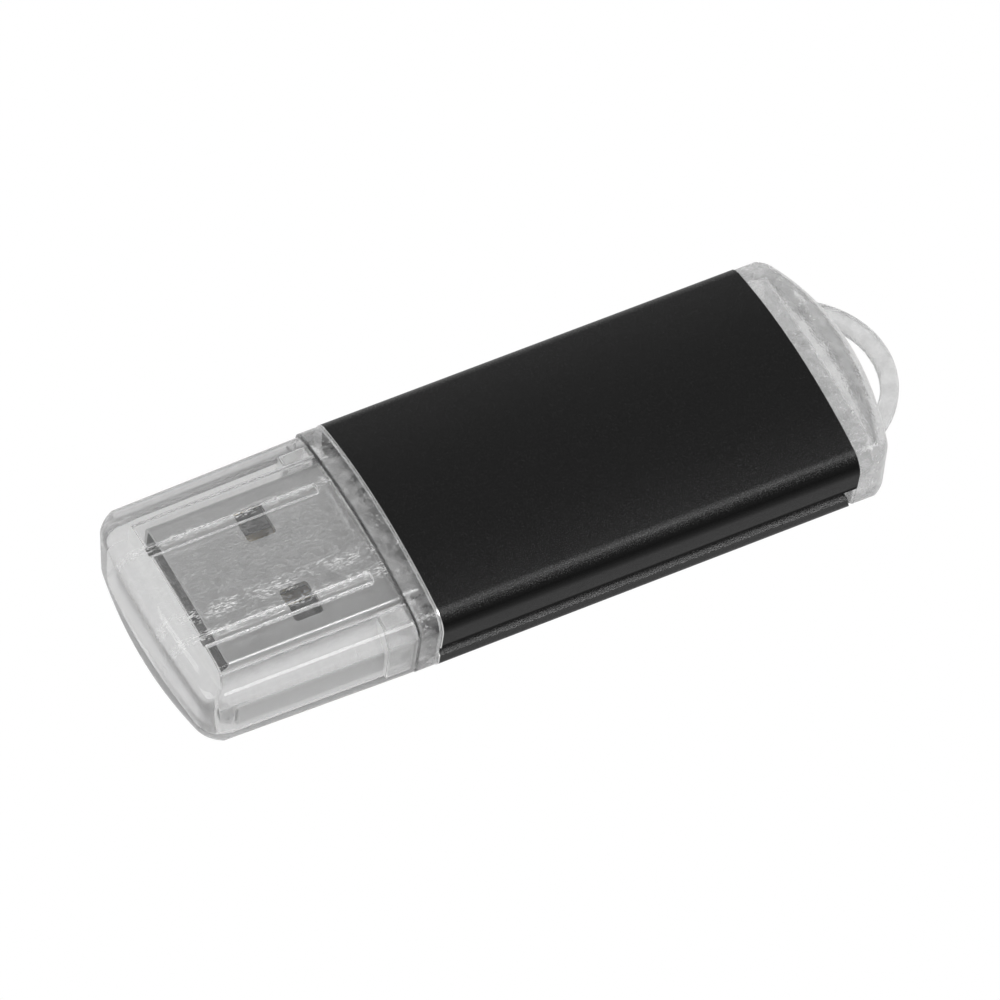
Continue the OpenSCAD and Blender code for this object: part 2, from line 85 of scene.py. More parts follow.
CAP_STEP = 0.16
CAP_DROP = 0.13
CAP_TAPER = (0.975, 0.93)
CAP_END_R = 44.0
CAP_CORNER_R = 1.5
CAP_EDGE_R = 1.25
CAP_LIP_R = 0.12
CAP_CUT_BACK = 2.0
RIB_OVERLAP = 1.0

END_L = 3.65
END_R = 28.0
END_CORNER_R = 1.2
END_EDGE_R = 1.05
END_LIP_R = 0.05
END_GAP = 0.02
END_HOLLOW_L = 1.6
END_HOLLOW_HALF_W = 6.95
END_HOLLOW_Z = (1.35, 5.5)
END_HOLLOW_R = 0.3
END_CUT_FRONT = 4.0
SPIGOT_INSET = 0.95
SPIGOT_HALF_H = HALF_H + 0.25
SPIGOT_L = 2.8
SPIGOT_ROOT_L = 0.5

LOOP_R = 6.7
LOOP_W = 1.2
LOOP_T = 1.3
LOOP_FROM_TO = (112, 248)
LOOP_SQUARENESS = 3.2

RIB_X = MOUTH_X + 1.3
RIB_W = 0.75
RIB_Y = 3.8
RIB_H = 0.45
RIB_EDGE_R = 0.14

NOTCH_L = 0.7
NOTCH_TOP_L = 0.1
NOTCH_FOOT_L = 0.12
NOTCH_FOOT_Z = 0.5
GROOVE_TOP_Z = 3.05
GROOVE_FLOOR_Z = 2.8
LUG_BEHIND = 0.3
LUG_DEPTH = 1.15
LUG_INSET = 0.1
LUG_SLANT_END = 0.12
LUG_FACE_END = 0.4
TRIM_INSET = 0.15
TRIM_FROM_TO = (-1.0, 2.0)

TENON_Y = 7.35
TENON_H = 2.0
POCKET_L = 1.9
POCKET_EDGE_R = 0.15
PLAY = 0.08

LOWEST_Z = 0.02
FLOOR_Z = -0.02
FLOOR_HALF_W = 3000.0

# How finely curves are divided.
DOME_STEPS = 24
SHOULDER_STEPS = 12
FLANK_STEPS = 8
HEM_STEPS = 10
UNDER_STEPS = 16
LOOP_STEPS = 72
LOOP_SIDES = 28

# A block's slices: along its straight part, then inwards over the rounded end's edge as parts of the
# edge's radius, then on to the middle of the end as parts of the last slice.
END_ZONE_L = 4.2
SHORTEST_STRAIGHT = 1.0
STRAIGHT_SLICES = (0.25, 0.5, 0.75, 1.0)
EDGE_SLICES = (0.0, 0.01, 0.04, 0.09, 0.16, 0.25, 0.36, 0.49, 0.64, 0.81, 1.0, 1.1, 1.25)
MIDDLE_SLICES = (0.93, 0.84, 0.72, 0.58, 0.42, 0.26, 0.12)

SHARP_ANGLE = 30.0
SHARP_ANGLE_CAD = 32.0
BEVEL_ANGLE = 35.0


# ---------------------------------------------------------------- meshes

def mesh_object(name, verts, faces):
    mesh = bpy.data.meshes.new(name)
    mesh.from_pydata([Vector(v) * MM for v in verts], [], faces)
    mesh.update()
    obj = bpy.data.objects.new(name, mesh)
    bpy.context.scene.collection.objects.link(obj)
    bm = bmesh.new()
    bm.from_mesh(mesh)
    bmesh.ops.remove_doubles(bm, verts=bm.verts, dist=1e-7)
    bmesh.ops.recalc_face_normals(bm, faces=bm.faces)
    for face in bm.faces:
        face.smooth = True
    bm.to_mesh(mesh)
    bm.free()
    return obj


def loft(name, rings):
    """A closed mesh through rings of equal length, with a flat face at each end."""
    n = len(rings[0])
    last = (len(rings) - 1) * n
    faces = []
    for start in range(0, last, n):
        for i in range(n):
            j = (i + 1) % n
            faces.append((start + i, start + j, start + n + j, start + n + i))
    faces.append(tuple(range(n)))
    faces.append(tuple(range(last, last + n)))
    return mesh_object(name, [point for ring in rings for point in ring], faces)


def arc(cy, cz, r, a0, a1, steps):
    """Points on an arc about (cy, cz) from angle a0 to angle a1."""
    angles = [a0 + (a1 - a0) * i / steps for i in range(steps + 1)]
    return [(cy + r * math.cos(a), cz + r * math.sin(a)) for a in angles]


def quarter_section(half_w, half_h, wide_r, corner_r, d, wide_steps, corner_steps):
    """A wide arc and the corner beside it, shrunk by d, from the top middle to the flank."""
    r = max(corner_r - d, SMALLEST_R)
    cy = half_w - d - r
    wide_z = half_h - d - (wide_r - d)
    cz = wide_z + math.sqrt((wide_r - d - r) ** 2 - cy * cy)
    meet = math.atan2(cz - wide_z, cy)
    wide = arc(0.0, wide_z, wide_r - d, math.pi / 2, meet, wide_steps)
    return wide + arc(cy, cz, r, meet, 0.0, corner_steps)[1:]


def section(d, half_h=HALF_H):
    """Closed section, points (y, z) with z from the section's middle, shrunk by d."""
    upper = quarter_section(HALF_W, half_h, DOME_R, SHOULDER_R, d, DOME_STEPS, SHOULDER_STEPS)
    lower = quarter_section(HALF_W - LEAN, half_h, UNDER_R, HEM_R, d, UNDER_STEPS, HEM_STEPS)
    lower = [(y, -z) for y, z in reversed(lower)]
    (y0, z0), (y1, z1) = upper[-1], lower[0]
    parts = [i / FLANK_STEPS for i in range(1, FLANK_STEPS)]
    right = upper + [(y0 + (y1 - y0) * t, z0 + (z1 - z0) * t) for t in parts] + lower
    return right + [(-y, z) for y, z in reversed(right[1:-1])]


def flank_at(z, step=SKIN):
    """Half-width of the leaning flank at height z above the section's middle."""
    t = min(1.0, max(0.0, (LEAN_START - z) / LEAN_H))
    return HALF_W - step - LEAN * t


def quarter_round(distance, radius):
    """How far a surface drops at a distance inside an edge rounded to radius."""
    if distance >= radius:
        return 0.0
    return radius - math.sqrt(max(0.0, radius ** 2 - (radius - distance) ** 2))


def end_drop(y, z, step, end_r, corner_r, edge_r):
    """How far the curved, rounded end lies behind its tip at (y, z)."""
    ay = abs(y)
    plan = end_r - math.sqrt(end_r ** 2 - ay * ay)
    side = max(0.0, flank_at(z, step) - ay)
    dome_z = HALF_H - step - (DOME_R - math.sqrt(DOME_R ** 2 - ay * ay))
    under_z = HALF_H - step - (UNDER_R - math.sqrt(UNDER_R ** 2 - ay * ay))
    edge = max(0.0, min(dome_z - z, z + under_z))
    return plan + quarter_round(side, corner_r) + quarter_round(edge, edge_r)


def rounded_block(name, mouth_x, tip_x, step, drop, taper, radii, lip):
    """A length of the section with a curved, rounded end at tip_x and a square mouth.

    radii are those of the end in plan, its corners and its edges; lip is that of the mouth's edge.
    """
    way = 1 if tip_x > mouth_x else -1
    length = abs(tip_x - mouth_x)
    straight = length - END_ZONE_L - lip
    edge_r = radii[2]
    base = section(step)
    rings = []
    for d, dx in ((lip, 0.0), (lip * 0.3, lip * 0.3), (0.0, lip)):
        rings.append([(mouth_x + way * dx, y, z) for y, z in section(step + d)])
    for k in STRAIGHT_SLICES:
        if straight > SHORTEST_STRAIGHT:
            rings.append([(mouth_x + way * (lip + straight * k), y, z) for y, z in base])
    for t in EDGE_SLICES:
        inner = section(step + edge_r * t)
        rings.append([(tip_x - way * end_drop(y, z, step, *radii), y, z) for y, z in inner])
    for k in MIDDLE_SLICES:
        nearer = [(y * k, z * k) for y, z in inner]
        rings.append([(tip_x - way * end_drop(y, z, step, *radii), y, z) for y, z in nearer])

    def tapered(x, y, z):
        along = abs(x - mouth_x) / length
        wide, high = (1 - (1 - t) * along for t in taper)
        return x, y * wide, max(MID_Z - drop + z * high, LOWEST_Z)

    return loft(name, [[tapered(*point) for point in ring] for ring in rings])


def bevel_edges(obj, radius, segments, test):
    """Rounds the edges that pass a test."""
    bm = bmesh.new()
    bm.from_mesh(obj.data)
    chosen = [e for e in bm.edges if test(e)]
    bmesh.ops.bevel(bm, geom=chosen, offset=radius * MM, offset_type="OFFSET", segments=segments,
                    profile=0.5, affect="EDGES", clamp_overlap=True)
    for face in bm.faces:
        face.smooth = True
    bm.to_mesh(obj.data)
    bm.free()


def any_edge(edge):
    return True


def along_x(edge):
    """True for an edge that runs along X."""
    run = edge.verts[0].co - edge.verts[1].co
    return abs(run.x) > 0.9 * run.length


def on_cavity_front(edge):
    """True for an edge of the flat face at the front of the cap's hollow."""
    return all(abs(v.co.x - CAVITY_X * MM) < 1e-6 for v in edge.verts)


def rounded_box(name, lo, hi, radius, segments, test=any_edge):
    """A box with those of its edges rounded that pass a test."""
    verts = [(x, y, z) for x in (lo[0], hi[0]) for y in (lo[1], hi[1]) for z in (lo[2], hi[2])]
    faces = [(0, 1, 3, 2), (4, 6, 7, 5), (0, 4, 5, 1), (2, 3, 7, 6), (0, 2, 6, 4), (1, 5, 7, 3)]
    obj = mesh_object(name, verts, faces)
    bevel_edges(obj, radius, segments, test)
    return obj


def bar(name, ring, x0, x1):
    """A section pushed along X from x0 to x1."""
    return loft(name, [[(x, y, MID_Z + z) for y, z in ring] for x in (x0, x1)])


def ring_tube(name, centre, radius, width, thick, a0, a1):
    """Part of a ring in the XY plane with a rounded rectangular tube."""
    profile = []
    for i in range(LOOP_SIDES):
        a = 2 * math.pi * i / LOOP_SIDES
        c, s = math.cos(a), math.sin(a)
        profile.append((width / 2 * math.copysign(abs(c) ** (2 / LOOP_SQUARENESS), c),
                        thick / 2 * math.copysign(abs(s) ** (2 / LOOP_SQUARENESS), s)))
    x, y, z = centre
    rings = []
    for k in range(LOOP_STEPS + 1):
        a = a0 + (a1 - a0) * k / LOOP_STEPS
        c, s = math.cos(a), math.sin(a)
        rings.append([(x + (radius + out) * c, y + (radius + out) * s, z + up) for out, up in profile])
    return loft(name, rings)


def boolean(target, tool, operation):
    """Applies a boolean at once and removes the tool."""
    mod = target.modifiers.new("cut", "BOOLEAN")
    mod.operation = operation
    mod.solver = "EXACT"
    mod.object = tool
    depsgraph = bpy.context.evaluated_depsgraph_get()
    mesh = bpy.data.meshes.new_from_object(target.evaluated_get(depsgraph))
    target.modifiers.clear()
    old = target.data
    target.data = mesh
    bpy.data.meshes.remove(old)
    bpy.data.objects.remove(tool)
    return target


def sharpen(obj):
    """Smooth shading with the edges above SHARP_ANGLE kept sharp."""
    for poly in obj.data.polygons:
        poly.use_smooth = True
    obj.data.set_sharp_from_angle(angle=math.radians(SHARP_ANGLE))
    weighted = obj.modifiers.new("normals", "WEIGHTED_NORMAL")
    weighted.keep_sharp = True
    weighted.weight = 80


# ---------------------------------------------------------------- materials

CLEAR_TINT = 0.97
MILK_TINT = 0.88
# The seam grey is painted shade: the dark line in the gap where the cap's mouth meets the collar.
SEAM_SHADE_TINT = 0.45
SHADOW_TINT = 0.86


def grey(v):
    return (v, v, v, 1.0)


def grey_ramp(ramp, points, interpolation):
    """Sets a colour ramp to greys at (position, grey) points in rising order."""
    ramp.interpolation = interpolation
    first, last = ramp.elements
    first.position, first.color = points[0][0], grey(points[0][1])
    last.position, last.color = points[-1][0], grey(points[-1][1])
    for position, value in points[1:-1]:
        ramp.elements.new(position).color = grey(value)


class Nodes:
    """A short way to write a material's nodes."""

    def __init__(self, name):
        self.mat = bpy.data.materials.new(name)
        self.mat.use_nodes = True
        self.tree = self.mat.node_tree
        self.tree.nodes.clear()
        self.out = self.tree.nodes.new("ShaderNodeOutputMaterial")
        coord = self.tree.nodes.new("ShaderNodeTexCoord")
        self.coord = coord.outputs["Object"]

    def add(self, kind, links=None, **values):
        """A node with its settings or inputs set to values and its inputs linked to sockets."""
        node = self.tree.nodes.new("ShaderNode" + kind)
        for key, value in values.items():
            if hasattr(node, key):
                setattr(node, key, value)
            else:
                node.inputs[key.replace("_", " ")].default_value = value
        for key, source in (links or {}).items():
            self.tree.links.new(source, node.inputs[key])
        return node

    def axis(self, letter, vector=None):
        """One axis of the place on the part, or of another vector."""
        return self.add("SeparateXYZ", {"Vector": vector or self.coord}).outputs[letter]

    def noise(self, scale, detail=3.0, rough=0.55, vector=None):
        return self.add("TexNoise", {"Vector": vector or self.coord}, Scale=scale, Detail=detail,
                        Roughness=rough).outputs["Fac"]

    def stretched(self, x, y, z):
        """The place on the part, scaled by its own amount along each axis."""
        return self.add("Mapping", {"Vector": self.coord}, Scale=(x, y, z)).outputs["Vector"]

    def calc(self, operation, a, b=None, clamp=False):
        """Arithmetic on a and b, each a socket or a number."""
        node = self.add("Math", operation=operation, use_clamp=clamp)
        for socket, value in zip(node.inputs, (a, b)):
            if isinstance(value, bpy.types.NodeSocket):
                self.tree.links.new(value, socket)
            elif value is not None:
                socket.default_value = value
        return node.outputs[0]

    def times(self, first, *others):
        for other in others:
            first = self.calc("MULTIPLY", first, other)
        return first

    def plus(self, first, *others):
        for other in others:
            first = self.calc("ADD", first, other)
        return first

    def span(self, source, lo, hi, from_lo=0.3, from_hi=0.7):
        """Carries source from from_lo..from_hi to lo..hi, and holds it there outside."""
        node = self.add("MapRange", {"Value": source}, From_Min=from_lo, From_Max=from_hi,
                        To_Min=lo, To_Max=hi)
        return node.outputs["Result"]

    def span_mm(self, source, lo, hi, from_mm, to_mm):
        return self.span(source, lo, hi, from_mm * MM, to_mm * MM)

    def near_mm(self, source, centre, inner, outer, within=1.0, beyond=0.0):
        """within where source is nearer than inner to centre, beyond where it is past outer."""
        away = self.calc("ABSOLUTE", self.calc("SUBTRACT", source, centre * MM))
        return self.span_mm(away, within, beyond, inner, outer)

    def curve(self, source, points):
        """A smooth curve through (input, output) points, both from 0 to 1."""
        node = self.add("ValToRGB", {"Fac": source})
        grey_ramp(node.color_ramp, points, "EASE")
        return node.outputs["Color"]

    def bump(self, source, depth_mm, normal=None):
        links = {"Height": source}
        if normal is not None:
            links["Normal"] = normal
        return self.add("Bump", links, Strength=1.0, Distance=depth_mm * MM).outputs["Normal"]

    def mix_colour(self, factor, a, b, base=None):
        """Colour a to b by factor; base, if given, is a linked colour that takes the place of a."""
        node = self.tree.nodes.new("ShaderNodeMix")
        node.data_type = "RGBA"
        sockets = {s.identifier: s for s in node.inputs}
        self.tree.links.new(factor, sockets["Factor_Float"])
        sockets["A_Color"].default_value = a
        sockets["B_Color"].default_value = b
        if base is not None:
            self.tree.links.new(base, sockets["A_Color"])
        return next(s for s in node.outputs if s.identifier == "Result_Color")

    def mix_shader(self, factor, a, b):
        """Shader a to shader b by factor."""
        return self.add("MixShader", {0: factor, 1: a, 2: b}).outputs[0]

    def finish(self, shader):
        self.tree.links.new(shader, self.out.inputs["Surface"])
        return self.mat


def painted_glint_amount(n, strength):
    """Painted glints: short bright milky flecks in streaks along X, where sparkling highlights fall: one
    between the ribs, one on each rib, few elsewhere.
    """
    across = n.axis("Y")
    streaks = None
    for centre, half_w, level in ((2.2, 0.6, 1.0), (RIB_Y, 0.5, 0.9), (-RIB_Y, 0.5, 0.9), (0.0, 6.0, 0.15)):
        band = n.near_mm(across, centre, half_w * 0.4, half_w, level)
        streaks = band if streaks is None else n.calc("MAXIMUM", streaks, band)
    on_roof = n.span_mm(n.axis("Z"), 0.0, 1.0, ROOF_Z - 0.4, ROOF_Z - 0.3)
    grains = n.span(n.noise(1.0, 3.0, 0.7, n.stretched(2600.0, 9500.0, 9500.0)), 0.0, 1.0, 0.52, 0.57)
    patches = n.span(n.noise(600.0, 2.0), 0.15, 1.0, 0.4, 0.48)
    return n.times(streaks, on_roof, grains, patches, strength)


def inner_walls(n):
    """Extra roughness on the moulded inside walls, below the roof and inside the flanks."""
    below = n.span_mm(n.axis("Z"), 0.2, 0.0, ROOF_Z - 0.75, ROOF_Z - 0.55)
    within = n.near_mm(n.axis("Y"), 0.0, 7.5, 7.6)
    behind = n.span_mm(n.axis("X"), 1.0, 0.0, CAVITY_X + 0.05, CAVITY_X + 0.1)
    return n.times(below, within, behind)


def end_dots(n, shell):
    """Small bright dots in patches, kept off the lanyard loop."""
    dots = n.span(n.noise(4200.0, 2.0, 0.6), 0.0, 0.4, 0.6, 0.7)
    patches = n.span(n.noise(600.0, 2.0), 0.0, 1.0, 0.48, 0.6)
    return n.times(dots, patches, shell)


def milk_amount(n, frost, reach, seam_shade, shell):
    """How milky the plastic looks: frost, grazing surfaces, the rear and dots, with less in the solid front
    and on the painted shade line at the seam.

    reach is how far the noise swings between least and most frost; a small one gives strong contrast.
    """
    cloud = n.span(n.noise(1300.0, 5.0, 0.65), frost * 0.3, frost * 1.9, 0.5 - reach, 0.5 + reach)
    grazing = n.add("LayerWeight", Blend=0.5).outputs["Facing"]
    rim = n.span(n.times(grazing, grazing), 0.0, 0.6, 0.17, 1.0)
    rear = n.span_mm(n.axis("X"), 0.05, 0.0, REAR_X, REAR_X + 0.1)
    milk = n.plus(cloud, rim, rear)
    if shell is not None:
        milk = n.calc("ADD", milk, end_dots(n, shell), clamp=True)
    front = n.span_mm(n.axis("X"), 1.0, 0.45, CAVITY_X + 1.3, CAVITY_X + 1.5)
    off_seam_shade = n.span(seam_shade, 1.0, 0.1, 0.0, 1.0)
    return n.times(milk, front, off_seam_shade)


def clear_plastic(name, haze, frost, wave_mm, darkest, reach, mottle_mm=0.0, painted_glints=0.0):
    """Clear moulded plastic with flow waves, drag marks, mottle and a little frost.

    haze is its roughness, frost how milky it is, and darkest the part of the tint left in its darkest clouds.
    """
    n = Nodes(name)
    marks = n.noise(1.0, 4.0, 0.6, n.stretched(500.0, 5200.0, 5200.0))
    normal = n.bump(n.noise(150.0, 2.0, 0.5), wave_mm)
    normal = n.bump(marks, wave_mm * 0.05, normal)
    shell = None
    if mottle_mm:
        shell = n.span_mm(n.axis("X"), 0.0, 1.0, REAR_X - END_L - 0.6, REAR_X - END_L)
        normal = n.bump(n.times(n.noise(1400.0, 4.0, 0.65), shell), mottle_mm, normal)
    rough = n.plus(n.span(marks, haze * 0.8, haze * 1.2), inner_walls(n))
    cloud = n.span(n.noise(1000.0, 4.0, 0.6), 0.0, 1.0, 0.42, 0.54)
    tint = n.mix_colour(cloud, grey(CLEAR_TINT * darkest), grey(CLEAR_TINT))
    # Painted shade: a thin dark line painted into the tint where the cap's mouth meets the collar, for the
    # shade in the gap between them.
    seam_shade = n.near_mm(n.axis("X"), MOUTH_X, 0.05, 0.12)
    tint = n.mix_colour(seam_shade, grey(1.0), grey(SEAM_SHADE_TINT), tint)
    body = n.add("BsdfPrincipled", {"Base Color": tint, "Normal": normal, "Roughness": rough},
                 Transmission_Weight=1.0, IOR=1.5)
    milk = n.add("BsdfDiffuse", {"Normal": normal}, Color=grey(MILK_TINT))
    lit = n.mix_shader(milk_amount(n, frost, reach, seam_shade, shell), body.outputs[0], milk.outputs[0])
    # Painted glints: milky flecks along the streaks where highlights sparkle on the cap's top.
    if painted_glints:
        lit = n.mix_shader(painted_glint_amount(n, painted_glints), lit, milk.outputs[0])
    shade = n.add("BsdfTransparent", Color=grey(SHADOW_TINT))
    in_shadow = n.add("LightPath").outputs["Is Shadow Ray"]
    return n.finish(n.mix_shader(in_shadow, lit, shade.outputs[0]))


# How glossy the sleeve is, and how much painted highlight sparkle goes into its colour, by the way the
# surface
# faces: 0 is down, 0.5 is sideways and 1 is up. Both are tuned to the lighter and darker bands in the
# photograph.
SLEEVE_GLOSS = ((0.3, 0.12), (0.45, 0.17), (0.5, 0.22), (0.57, 0.23), (0.63, 0.18), (0.68, 0.12),
                (0.73, 0.08), (0.8, 0.15), (0.88, 0.28), (0.94, 0.27), (0.975, 0.24), (1.0, 0.35))
SLEEVE_PAINTED_SPARKLE = ((0.0, 0.05), (0.78, 0.05), (0.88, 0.6), (0.94, 0.6), (0.965, 0.45), (0.985, 0.15),
                (1.0, 0.1))
CUT_RIM_L = 0.09


def anodised():
    """Bead-blasted black anodised aluminium with a bright cut front rim, and painted highlight sparkle in its
    colour where it faces the lamp.
    """
    n = Nodes("anodised_aluminium")
    facing = n.axis("Z", n.add("NewGeometry").outputs["Normal"])
    tilt = n.span(facing, 0.0, 1.0, -1.0, 1.0)
    height = n.axis("Z")
    # Painted highlight: the groove's upward-facing ledge, which faces the lamp, gets more gloss and more
    # painted sparkle. Painted shade: a dark line of low gloss runs just above the groove, where the groove's
    # shade falls.
    ledge = n.times(n.span_mm(height, 1.0, 0.0, 2.9, 3.0), n.span(tilt, 0.0, 1.0, 0.75, 0.85))
    painted_groove_shade = n.near_mm(height, GROOVE_TOP_Z + 0.1, 0.12, 0.26, 0.1, 1.0)
    gloss = n.plus(n.times(n.curve(tilt, SLEEVE_GLOSS), painted_groove_shade), n.times(ledge, 0.35))
    # Painted highlight: bright sparkle painted into the base colour, most where the surface faces the lamp
    # and on the ledge, with a faint grain elsewhere.
    lit = n.plus(n.curve(tilt, SLEEVE_PAINTED_SPARKLE), n.times(ledge, 0.4))
    painted_sparkle = n.times(n.span(n.noise(15500.0, 2.0, 0.6), 0.0, 1.0, 0.52, 0.68), lit)
    skin = n.add("BsdfPrincipled", {
        "Base Color": n.mix_colour(painted_sparkle, grey(0.003), grey(0.12)),
        "Normal": n.bump(n.noise(15000.0, 1.0, 0.5), 0.02),
        "Specular IOR Level": gloss,
        "Roughness": n.span(n.noise(700.0, 4.0, 0.6), 0.25, 0.27)})
    lathe = n.noise(1.0, 3.0, 0.5, n.stretched(16000.0, 900.0, 900.0))
    bright = n.add("BsdfPrincipled", {"Normal": n.bump(lathe, 0.002), "Roughness": n.span(lathe, 0.18, 0.34)},
                   Base_Color=grey(0.9), Metallic=1.0)
    on_rim = n.calc("GREATER_THAN", n.axis("X"), (FRONT_X - CUT_RIM_L) * MM)
    return n.finish(n.mix_shader(on_rim, skin.outputs[0], bright.outputs[0]))


def metal(name, colour, rough, brush=(600.0, 9000.0, 9000.0), bump_mm=0.0015):
    """Bare or plated metal with a directional grain and uneven polish."""
    n = Nodes(name)
    grain = n.noise(1.0, 4.0, 0.6, n.stretched(*brush))
    cloud = n.noise(500.0, 4.0)
    polish = n.span(cloud, rough * 0.94, rough * 1.08)
    body = n.add("BsdfPrincipled", {"Normal": n.bump(grain, bump_mm), "Roughness": polish},
                 Base_Color=colour, Metallic=1.0)
    return n.finish(body.outputs[0])


def moulded(name, dark, light, rough, bump_mm, scale, transmission=0.0):
    """Moulded or fired material: mottled colour, fine surface grain, uneven roughness."""
    n = Nodes(name)
    cloud = n.noise(scale * 0.15, 4.0)
    colour = n.mix_colour(n.span(cloud, 0.0, 1.0), dark, light)
    normal = n.bump(n.noise(scale, 3.0), bump_mm)
    polish = n.span(cloud, rough * 0.85, rough * 1.15)
    body = n.add("BsdfPrincipled", {"Base Color": colour, "Normal": normal, "Roughness": polish},
                 Transmission_Weight=transmission)
    return n.finish(body.outputs[0])


def solder_mask():
    """Green solder mask over laminate, with the raised lines of the copper tracks under it."""
    n = Nodes("solder_mask")
    tracks = n.add("TexBrick", {"Vector": n.coord}, Scale=260.0, Mortar_Size=0.05,
                   Mortar_Smooth=0.4).outputs["Fac"]
    weave = n.noise(5000.0, 2.0)
    colour = n.mix_colour(tracks, (0.012, 0.11, 0.06, 1), (0.02, 0.2, 0.11, 1))
    normal = n.bump(weave, 0.002, n.bump(tracks, 0.02))
    polish = n.span(weave, 0.22, 0.38)
    body = n.add("BsdfPrincipled", {"Base Color": colour, "Normal": normal, "Roughness": polish})
    return n.finish(body.outputs[0])


def floor_white():
    """Pure white to the camera; to reflections it is a pale sweep that darkens away from the part."""
    n = Nodes("floor_white")
    seen = n.add("LightPath").outputs["Is Camera Ray"]
    away = n.add("VectorMath", {0: n.coord}, operation="LENGTH").outputs["Value"]
    pale = n.span(away, 0.64, 0.42, 0.03, 0.35)
    glow = n.add("Emission", {"Strength": n.calc("MAXIMUM", pale, seen)})
    return n.finish(glow.outputs[0])


def make_materials():
    return {
        "clear_cap": clear_plastic("clear_cap", 0.03, 0.045, 0.01, darkest=0.99, reach=0.25, painted_glints=0.8),
        "clear_body": clear_plastic("clear_body", 0.05, 0.1, 0.012, darkest=0.84, reach=0.1, mottle_mm=0.06),
        "anodised": anodised(),
        "steel": metal("plated_steel", grey(0.5), 0.38),
        "gold": metal("gold_contact", (0.7, 0.56, 0.3, 1), 0.3),
        "solder": metal("solder", grey(0.62), 0.28, (3000.0, 3000.0, 3000.0), 0.01),
        "tin": metal("tinned_lead", grey(0.66), 0.38, (4000.0, 4000.0, 4000.0), 0.003),
        "insulator": moulded("insulator", grey(0.01), grey(0.016), 0.45, 0.004, 5000.0),
        "mask": solder_mask(),
        "mould": moulded("chip_mould", grey(0.02), grey(0.035), 0.55, 0.005, 9000.0),
        "ceramic": moulded("chip_ceramic", (0.42, 0.32, 0.22, 1), (0.55, 0.43, 0.3, 1), 0.45, 0.003, 8000.0),
        "resin": moulded("led_resin", (0.85, 0.84, 0.7, 1), (0.92, 0.9, 0.78, 1), 0.2, 0.002, 3000.0, 0.6),
    }


# ---------------------------------------------------------------- sub-parts

def hand_over(obj, material, node, body):
    """Puts a finished mesh in the place of a CAD node, with its material, and on its body."""
    sharpen(obj)
    obj.data.materials.clear()
    obj.data.materials.append(material)
    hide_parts(node)
    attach(obj, body)


def build_cap(material):
    """Clear cap: tapered, with a curved rounded end, a hollow for the plug, ribs and the tenons' pocket."""
    cap = rounded_block("clear_cap", MOUTH_X, TIP_X, CAP_STEP, CAP_DROP, CAP_TAPER,
                        (CAP_END_R, CAP_CORNER_R, CAP_EDGE_R), CAP_LIP_R)
    behind = MOUTH_X - CAP_CUT_BACK
    hollow = rounded_box("hollow", (behind, -CAVITY_HALF_W, CAVITY_FLOOR_Z),
                         (CAVITY_X, CAVITY_HALF_W, ROOF_Z), CAVITY_TOP_R, 5, along_x)
    bevel_edges(hollow, CAVITY_FRONT_R, 3, on_cavity_front)
    for side in (-1, 1):
        right, left = side * RIB_Y - RIB_W / 2, side * RIB_Y + RIB_W / 2
        rib = rounded_box("rib", (RIB_X - RIB_W / 2, right, ROOF_Z - RIB_H),
                          (CAVITY_X + RIB_OVERLAP, left, ROOF_Z + RIB_OVERLAP), RIB_EDGE_R, 4)
        boolean(hollow, rib, "DIFFERENCE")
    wide, high = TENON_Y + PLAY, TENON_H + PLAY
    pocket = rounded_box("pocket", (behind, -wide, PLUG_Z - high), (MOUTH_X + POCKET_L, wide, PLUG_Z + high),
                         POCKET_EDGE_R, 3)
    boolean(hollow, pocket, "UNION")
    boolean(cap, hollow, "DIFFERENCE")
    hand_over(cap, material, "cap", "cap")


def latch_lug(side):
    """The slanted lug that fills the latch notch at the rear of one flank."""
    top, foot, front = GROOVE_TOP_Z - PLAY, NOTCH_FOOT_Z + PLAY, NOTCH_L - PLAY
    outline = [(-LUG_BEHIND, top), (NOTCH_TOP_L - PLAY, top),
               (front, GROOVE_FLOOR_Z - LUG_SLANT_END - PLAY), (front, GROOVE_FLOOR_Z - LUG_FACE_END),
               (NOTCH_FOOT_L - PLAY, foot), (-LUG_BEHIND, foot)]
    inner = [(REAR_X + x, side * (HALF_W - LUG_DEPTH), z) for x, z in outline]
    outer = [(REAR_X + x, side * (flank_at(z - MID_Z) - LUG_INSET), z) for x, z in outline]
    start, stop = TRIM_FROM_TO
    trim = bar("trim", section(TRIM_INSET), REAR_X + start, REAR_X + stop)
    return boolean(loft("lug", [inner, outer]), trim, "INTERSECT")


def build_end_piece(material):
    """Clear end piece: curved rounded end, hollow towards the board, spigot, latch lugs and lanyard loop."""
    block = rounded_block("clear_end_piece", REAR_X - END_GAP, REAR_X - END_L, SKIN, 0.0, (1.0, 1.0),
                          (END_R, END_CORNER_R, END_EDGE_R), END_LIP_R)
    spigot = bar("spigot", section(SPIGOT_INSET, SPIGOT_HALF_H), REAR_X - SPIGOT_ROOT_L, REAR_X + SPIGOT_L)
    boolean(block, spigot, "UNION")
    for side in (-1, 1):
        boolean(block, latch_lug(side), "UNION")
    low, high = END_HOLLOW_Z
    hollow = rounded_box("hollow", (REAR_X - END_HOLLOW_L, -END_HOLLOW_HALF_W, low),
                         (REAR_X + END_CUT_FRONT, END_HOLLOW_HALF_W, high), END_HOLLOW_R, 4)
    boolean(block, hollow, "DIFFERENCE")
    start, stop = LOOP_FROM_TO
    loop = ring_tube("loop", (REAR_X, 0, MID_Z), LOOP_R - LOOP_W / 2, LOOP_W, LOOP_T,
                     math.radians(start), math.radians(stop))
    boolean(block, loop, "UNION")
    hand_over(block, material, "end_piece", "stick")


